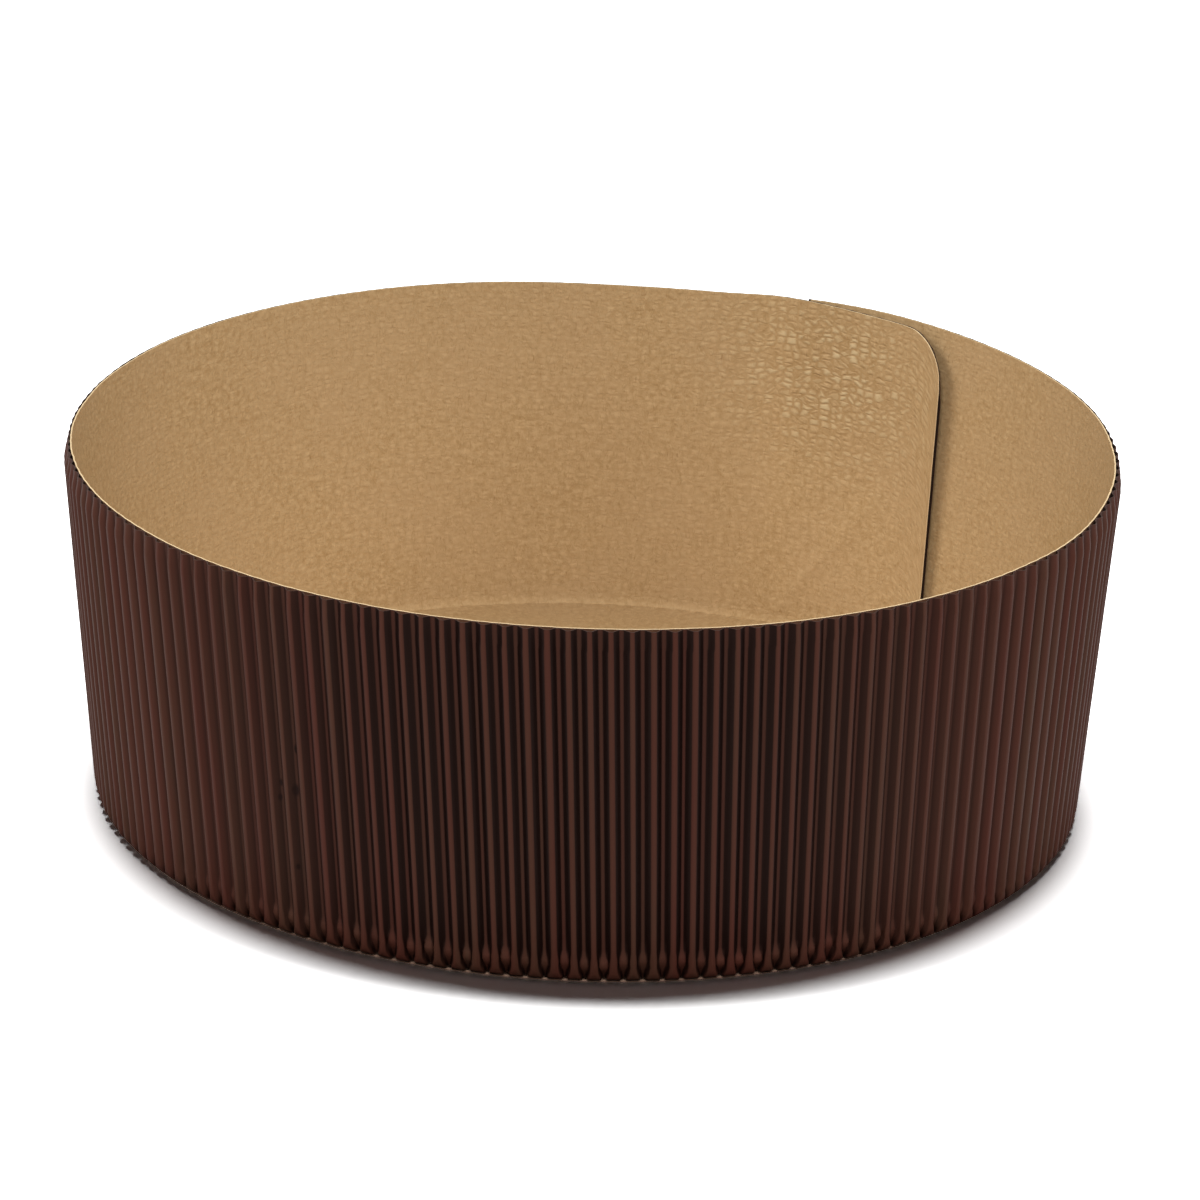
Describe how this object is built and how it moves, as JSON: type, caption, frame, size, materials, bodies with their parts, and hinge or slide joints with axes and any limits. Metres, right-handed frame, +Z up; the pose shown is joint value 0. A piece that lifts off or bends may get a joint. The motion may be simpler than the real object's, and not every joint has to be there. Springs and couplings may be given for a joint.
{
  "type": "panettone paper mold",
  "caption": "Low round paper baking mold with a tapered corrugated wall, brown flutes outside, kraft liner inside, a lapped seam and a flat kraft base.",
  "frame": {"origin": "centre of the underside, on the surface that the mold stands on", "axes": "+Z up out of the open mouth; -Y is the side that faces the picture's camera and +X is that camera's right, so the lapped seam lies between +X and +Y"},
  "size_m": [0.172, 0.172, 0.0611],
  "materials": {
    "brown_fluted_paper": "glossy brown coating",
    "kraft_liner": "matt kraft",
    "kraft_board": "matt kraft"
  },
  "bodies": {
    "root": {"fluted_wall": "brown_fluted_paper", "wall_liner": "kraft_liner", "base_disc": "kraft_board"}
  },
  "joints": []
}
